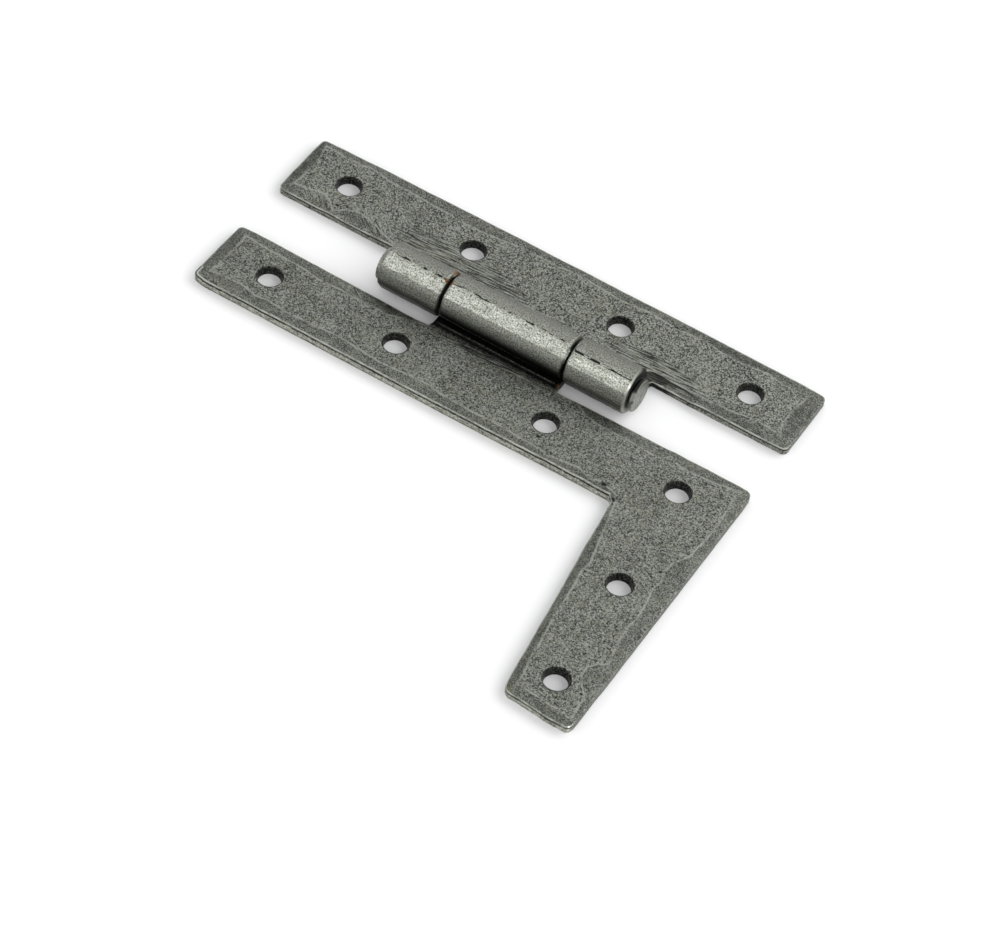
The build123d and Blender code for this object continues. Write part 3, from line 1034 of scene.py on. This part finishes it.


# %% [markdown]
# The barrel is rubbed brightest where the hammer left a flat, and a painted highlight lies on that
# flat too; below it, painted shade darkens the barrel towards its foot. Its unrolled coordinates
# are the place along the pin and the arc length round it, so pits and streaks follow the roll.

# %% The barrel and the sides of the sheet
def barrel_colour(tree):
    """Colour of the rolled part by its lean, with painted highlight and shade, patches, pits and a broken
    dark streak.
    """
    lean, along = mask(tree, "lean"), place_x(tree)
    arc = lean * np.radians(BARREL)
    flat, long = joined(along, arc), joined(along * 0.28, arc)
    on_right = ramp(along, 10.6, 11.0)
    # Tone by lean: from 16 to 48 degrees the rubbed flat with a painted highlight band, 6 degrees further
    # round on the right knuckle, and from 66 to 120 degrees painted shade darkening to the foot.
    place = lean + (on_right * -6.0 + swing_of(noise(long, 1.4), 5.0))
    colour = tones(place, -180, 180, [
        (-180, 0.14), (-60, 0.17), (-30, 0.2), (-8, 0.31), (9, 0.36), (16, 0.6), (30, 0.72), (45, 0.66),
        (48, 0.8), (51, 0.36), (66, 0.36), (86, 0.2), (100, 0.06), (120, 0.012), (180, 0.012)])
    patches = ramp(noise(long, 1.5, 3.0, 0.6), 0.36, 0.64)
    colour = mix(patches * 0.4, colour, grey(0.25, 0.02))
    colour = mix(ramp(noise(flat, 0.9, 3.0, 0.65), 0.45, 0.7, 0.0, 0.4), colour, TAN)
    grain = ramp(noise(flat, 4.2, 2.0, 0.65), 0.34, 0.62)
    colour = mix(grain, mix(0.72, colour, grey(0.04)), colour)
    streaks = ramp(noise(long, 3.4, 2.0, 0.6), 0.54, 0.72)
    colour = mix(streaks * ramp(lean, 55.0, 95.0, 0.3, 0.65), colour, grey(0.05))
    pits = ramp(noise(flat, 2.8, 2.0, 0.6), 0.62, 0.68)
    colour = mix(pits * line_at(lean - 16.0, 8.0, 45.0), colour, grey(0.02))
    dashes = ramp(on_right * 0.15 + noise(long, 2.2, 2.0, 0.6), 0.52, 0.58)
    border = line_at(lean - (on_right * 9.0 + 11.0), 1.5, 4.5)
    colour = mix(dashes * border, colour, grey(0.015))
    # Painted highlight on the right knuckle's rounded lip, whitest at 37 degrees, with painted shade on
    # its top and back.
    rounded = tones(lean, -180, 180, [
        (-180, 0.02), (-34, 0.02), (-18, 0.16), (10, 0.26), (26, 0.48), (37, 1.0), (47, 0.5), (60, 0.32),
        (180, 0.3)])
    return mix(ramp(mask(tree, "lip"), 0.12, 0.4), colour, rounded)


def edge_colour(tree, colour, low, high, quiet, dim):
    """Colour across the sheet's edge: a light line that is partly wear and partly painted highlight,
    a thin dark one, then the mottled side.

    low and high are the side's darkest and lightest greys. Where quiet is one, the edge keeps the
    tone of the face with only a trace of the painted highlight and the dark line, and where dim is
    one, the side lies in painted shade.
    """
    at = object_mm(tree)
    fall = mask(tree, "fall") + swing_of(noise(at, 0.8), 0.12)
    streak = noise(object_mm(tree, (0.35, 0.35, 2.2)), 2.0, 3.0, 0.6)
    tone = 0.5 + swing_of(streak, 1.8)
    tone = calc("ADD", tone, swing_of(noise(at, 3.2, 2.0, 0.6), 2.4), clamp=True)
    side = mix(tone, grey(low, 0.01), grey(high, 0.02))
    # The side turns partly brown towards its bottom.
    side = mix(ramp(fall, -1.5, -1.15, 0.5, 0.0), side, LOW_BROWN)
    side = mix(dim, mix(quiet, side, grey(0.17)), grey(0.022))
    colour = mix(ramp(fall, -0.45, -0.28, 1.0, 0.0), colour, side)
    loud = 1.0 - quiet * 0.85
    broken = ramp(noise(at, 0.9), 0.35, 0.5, 0.55, 0.95) * loud
    colour = mix(line_at(fall + 0.36, 0.05, 0.17) * broken, colour, grey(0.012))
    # A light line along the edge, partly wear and partly painted highlight, broken by noise.
    worn_and_sheen = ramp(noise(at, 0.5, 3.0, 0.6), 0.35, 0.6, 0.35, 1.0) * loud
    return mix(line_at(fall, 0.06, 0.2) * worn_and_sheen, colour, grey(0.4))


# %% Pewter finish for both leaves
def pewter(name, speckle, sides, areas):
    """Make the darkened steel of one leaf. The areas are lists of spots, by name."""
    material, tree, shader = new_material(name, 1.0, 0.5)
    at, along = object_mm(tree), place_x(tree)
    on = {key: spots(tree, marks) for key, marks in areas.items()}
    colour = sheet_colour(tree, *speckle, on["ground"], on["filed"], on["dark"])
    patchy = ramp(noise(at, 1.4, 3.0, 0.65), 0.4, 0.62, 0.0, 0.6)
    # Darker mottled patches in the listed spots.
    colour = mix(on["dark_patches"] * patchy, colour, grey(0.03))
    lean, hole, shade = mask(tree, "lean"), mask(tree, "hole"), mask(tree, "shade")
    colour = mix(hole, edge_colour(tree, colour, *sides, on["quiet"], on["dim"]), colour)
    # Painted shade inside the screw holes: their walls are near-black, mottled with some lighter grey.
    punched = mix(ramp(noise(at, 3.4, 3.0, 0.7), 0.4, 0.75), grey(0.01), grey(0.12))
    colour = mix(ramp(hole, 0.38, 0.58), colour, punched)
    # Painted shade on the walls of the rolled part: dark at the top of the outer knuckle ends, lighter
    # towards the foot, and mid grey in the gaps between knuckles; the left end keeps the barrel's colour.
    wall = line_at(mask(tree, "face") - 1.0, 0.1, 0.6) * ramp(along, -19.4, -19.0)
    outer_end_shade = mix(ramp(lean, 30.0, 75.0), grey(0.035), grey(0.2))
    end_wall_shade = mix(line_at(along, 10.8, 12.0), outer_end_shade, grey(0.11, 0.02))
    rolled = mix(wall, barrel_colour(tree), end_wall_shade)
    colour = mix(calc("LESS_THAN", lean, LARGEST_LEAN), colour, rolled)
    colour = mix(shade * 0.93, colour, grey(0.003))
    # Painted highlight: a light line on the roll's end edge, slanting across the painted shade at the
    # centre knuckle's foot.
    crevice_glint = line_at(lean - (along * 1.45 + 118.4), 1.2, 3.2) * shade
    colour = mix(crevice_glint * 0.9, colour, grey(0.28))
    colour = mix(on["rust"] * ramp(noise(at, 2.5), 0.32, 0.44), colour, RUST)
    colour = mix(on["olive"] * patchy, colour, MUD)
    # Painted highlight: nearly white inside the glint spot on the arm's foot corner.
    feed(shader.inputs["Base Color"], mix(on["painted_glint"], colour, grey(0.95)))
    grit = noise(at, 2.7, 2.0, 0.65)
    feed(shader.inputs["Roughness"], grit * 0.25 + 0.36)
    height = grit + noise(at, 6.0, 1.0) * 0.5
    bump = {"Distance": 0.00008, "Strength": 0.7, "Height": height}
    feed(shader.inputs["Normal"], add(tree, "ShaderNodeBump", 0, bump))
    return material


NOWHERE = ((0, 100), (1, 1))
straight_plate.data.materials.append(pewter("pewter_straight", (1.3, 3.0), (0.03, 0.42), {
    "ground": [((-12, 7.4), (13, 3.6), -3, 0.6), ((20, 7.2), (9.5, 2.6), -3, 0.6)],
    "filed": [((-35.5, 6.6), (3.2, 1.6), 0, 0.6), ((-26.5, 6.4), (3.0, 1.6), 0, 0.6)],
    "dark": [((-32.4, 6.9), (0.55, 0.35), 0, 0.3), ((18.2, 15.6), (0.7, 0.3), 0, 0.2)],
    "dark_patches": [((-28.5, 6.4), (3.5, 0.9), -8, 0.2), ((40.2, 11.3), (1.9, 6.6), 0, 0.4),
                ((32, 5.9), (9, 1.2), -3, 0.3), ((28, 16.3), (13, 1.1), 0, 0.3),
                ((-40.6, 11), (1.5, 6.5), 0, 0.4)],
    "quiet": [((41.5, 11.5), (0.9, 6.2), 0, 0.9)],
    "dim": [((21.5, 4.9), (3.2, 1.2), 0, 0.3)],
    "rust": [((-9.9, 1.6, 2.75), (0.45, 0.7, 0.7)), ((-9.9, -0.75, 3.3), (0.4, 0.6, 0.5))],
    "olive": [NOWHERE],
    "painted_glint": [NOWHERE]}))
angled_plate.data.materials.append(pewter("pewter_angled", (0.7, 2.5), (0.12, 0.62), {
    "ground": [((0, -5.2), (12, 0.8), 0, 0.4)],
    "filed": [((-22, -5.4), (3.5, 0.9), 0, 0.4)],
    "dark": [((12.8, -13.0), (0.36, 0.3), 0, 0.6), ((-25.5, -10.6), (1.7, 0.1), -25, 0.3),
             ((24.3, -14.95), (0.75, 0.5), 0, 0.3), ((26.4, -16.6), (0.9, 0.55), 0, 0.4),
             ((38.0, -23.6), (0.3, 0.26), 0, 0.5), ((36.9, -24.7), (1.8, 0.1), -22, 0.3),
             ((39.7, -47.0), (0.28, 0.22), 0, 0.5), ((37.3, -49.3), (0.2, 0.2), 0, 0.5),
             ((-35.0, -8.7), (0.5, 0.15), -30, 0.4)],
    "dark_patches": [((-22.2, -4.6), (0.9, 0.6), 0, 0.3), ((-17.0, -4.9), (4.5, 0.9), -4, 0.2),
                ((-12.0, -5.6), (2.6, 1.1), 0, 0.2), ((-33.0, -13.2), (2.2, 0.6), -10, 0.2),
                ((24.0, -15.6), (4.5, 0.8), -4, 0.2)],
    "quiet": [((41.5, -27.5), (0.9, 25.5), 0, 0.95)],
    "dim": [NOWHERE],
    "rust": [((10.3, -3.6, -2.6), (0.35, 0.5, 0.8)), ((-9.3, 1.5, 2.9), (0.35, 0.6, 0.6)),
             ((-9.3, -0.8, 3.3), (0.45, 0.6, 0.6)), ((-9.4, -2.7, 2.0), (0.2, 0.4, 0.4))],
    "olive": [((31.6, -51.6), (0.7, 0.5), 0, 0.2)],
    "painted_glint": [((41.05, -52.3, -2.35), (0.3, 0.2, 0.22), 45, 0.2)]}))

# %% Plain steel for the pin
material, tree, shader = new_material("pin_steel", 1.0, 0.42)
streaks = noise(object_mm(tree, (1, 1.4, 0.35)), 2.6, 3.0, 0.6)
tone = 0.5 + swing_of(streaks, 2.0)
tone = calc("ADD", tone, swing_of(noise(object_mm(tree), 1.8, 2.0, 0.6), 1.8), clamp=True)
struck = mix(tone, grey(0.09, 0.01), grey(0.36, 0.01))
# Painted shade: where end is zero, on the right head's top and far side and on the hidden shank, the pin
# is near-black.
feed(shader.inputs["Base Color"], mix(mask(tree, "end"), grey(0.02), struck))
turned_pin.data.materials.append(material)
print("materials:", [m.name for m in bpy.data.materials])

# %% [markdown]
# ## Floor, light and camera
# The hinge lies on a white table under soft studio light. The floor is white for the camera and
# for reflections, and its own shading keeps the hinge's shadow.

# %% Floor
FLOOR = cad_box[0].z
REACH = 2.0
GLOW = 0.03


def seen_rays(tree):
    """One for camera, glossy and transmission rays, and zero for the light that falls on things."""
    camera, glossy, clear = (add(tree, "ShaderNodeLightPath", f"Is {kind} Ray", {})
                             for kind in ("Camera", "Glossy", "Transmission"))
    return largest(largest(camera, glossy), clear)


floor_mesh = bpy.data.meshes.new("table_top")
corners = [(x * REACH, y * REACH, FLOOR) for x, y in ((-1, -1), (1, -1), (1, 1), (-1, 1))]
floor_mesh.from_pydata(corners, [], [(0, 1, 2, 3)])
table_top = bpy.data.objects.new("table_top", floor_mesh)
bpy.context.scene.collection.objects.link(table_top)
material, tree, shader = new_material("white_table", 0.0, 0.9)
shader.inputs["Base Color"].default_value = (0.86, 0.86, 0.865, 1)
shader.inputs["Specular IOR Level"].default_value = 0.0
shader.inputs["Emission Color"].default_value = (1, 1, 1, 1)
feed(shader.inputs["Emission Strength"], seen_rays(tree) * GLOW)
table_top.data.materials.append(material)
print("table top at", round(FLOOR * 1000, 2), "mm")

# %% [markdown]
# When the hinge folds, a leaf can swing below the place where it lay. Geometry nodes measure the
# lowest point of the three pieces as they stand, and the table top moves down to it.

# %% Let the table top follow the lowest point
follow = bpy.data.node_groups.new("follow_lowest_point", "GeometryNodeTree")
for way in ("INPUT", "OUTPUT"):
    follow.interface.new_socket("Geometry", in_out=way, socket_type="NodeSocketGeometry")
together = follow.nodes.new("GeometryNodeJoinGeometry")
for piece in (straight_plate, angled_plate, turned_pin):
    feed(together.inputs[0], add(follow, "GeometryNodeObjectInfo", "Geometry", {"Object": piece},
                                 transform_space="RELATIVE"))
lowest = part(add(follow, "GeometryNodeBoundBox", "Min", {0: Field(follow, together.outputs[0])}), "Z")
drop = calc("MINIMUM", lowest - FLOOR, 0.0)
lowered = add(follow, "GeometryNodeSetPosition", 0, {
    "Geometry": add(follow, "NodeGroupInput", 0, {}),
    "Offset": add(follow, "ShaderNodeCombineXYZ", 0, {"Z": drop})})
feed(follow.nodes.new("NodeGroupOutput").inputs[0], lowered)
table_top.modifiers.new("follow_lowest_point", "NODES").node_group = follow
print("table top follows", len(together.inputs[0].links), "pieces")

# %% [markdown]
# The studio is a white tent. The metal mirrors it evenly, but the light that falls on the floor
# comes mostly from the tent's sides, and most of all from the right. That is why the floor
# seen through the screw holes is in shade while the open floor is white.

# %% World light
world = bpy.data.worlds.new("studio")
bpy.context.scene.world = world
world.use_nodes = True
tree = world.node_tree
sky = add(tree, "ShaderNodeTexCoord", "Generated", {})
sides = ramp(part(sky, "Z"), 0.45, 0.85, 1.0, 0.12)
falling = sides * (part(sky, "Y") * 0.1 + 1.0 + part(sky, "X") * 0.45) * 1.9
seen = seen_rays(tree)
background = tree.nodes["Background"]
background.inputs["Color"].default_value = (1, 1, 1, 1)
feed(background.inputs["Strength"], falling * (1.0 - seen) + seen)
print("world:", world.name, "with", len(tree.nodes), "nodes")


# %% Lamps
def softbox(name, place, aim, size, power):
    """Add a rectangular area lamp at a place in metres that faces the aim."""
    lamp = bpy.data.lights.new(name, "AREA")
    lamp.shape = "RECTANGLE"
    lamp.size, lamp.size_y = size
    lamp.energy = power
    holder = bpy.data.objects.new(name, lamp)
    holder.location = place
    holder.rotation_mode = "QUATERNION"
    holder.rotation_quaternion = (Vector(aim) - holder.location).to_track_quat("-Z", "Y")
    bpy.context.scene.collection.objects.link(holder)
    print(name, "of", power, "W")


middle = (0.0, -0.018, FLOOR)
softbox("key_softbox", (0.36, 0.5, 0.5), middle, (0.8, 0.6), 2.4)
softbox("top_softbox", (-0.05, -0.25, 0.8), middle, (0.7, 0.35), 0.8)

# %% [markdown]
# The camera stands where the photographer stood: to the right of the hinge's middle, looking down
# at about fifty degrees with a long lens, and turned a little on its own axis.

# %% Camera
FOCAL_PIXELS, IMAGE_WIDTH = 3881.32, 1000
TARGET, DISTANCE = np.array([0.01171, -0.0209, -0.0035]), 0.52023
azimuth, elevation, tilt = np.radians([24.55, 49.53, 8.97])
out = np.cos(elevation)
back_way = np.array([np.sin(azimuth) * out, -np.cos(azimuth) * out, np.sin(elevation)])
right_way = np.array([np.cos(azimuth), np.sin(azimuth), 0.0])
up_way = np.cross(back_way, right_way)
across = np.cos(tilt) * right_way + np.sin(tilt) * up_way
upward = np.cos(tilt) * up_way - np.sin(tilt) * right_way
place = TARGET + DISTANCE * back_way
camera_data = bpy.data.cameras.new("camera")
camera_data.sensor_width = 36
camera_data.lens = FOCAL_PIXELS * camera_data.sensor_width / IMAGE_WIDTH
camera_data.clip_start, camera_data.clip_end = 0.05, 10
camera = bpy.data.objects.new("camera", camera_data)
camera.matrix_world = Matrix([*np.column_stack([across, upward, back_way, place]).tolist(), [0, 0, 0, 1]])
bpy.context.scene.collection.objects.link(camera)
bpy.context.scene.camera = camera
bpy.context.scene.view_settings.view_transform = "Standard"
print("camera at", place.round(4))
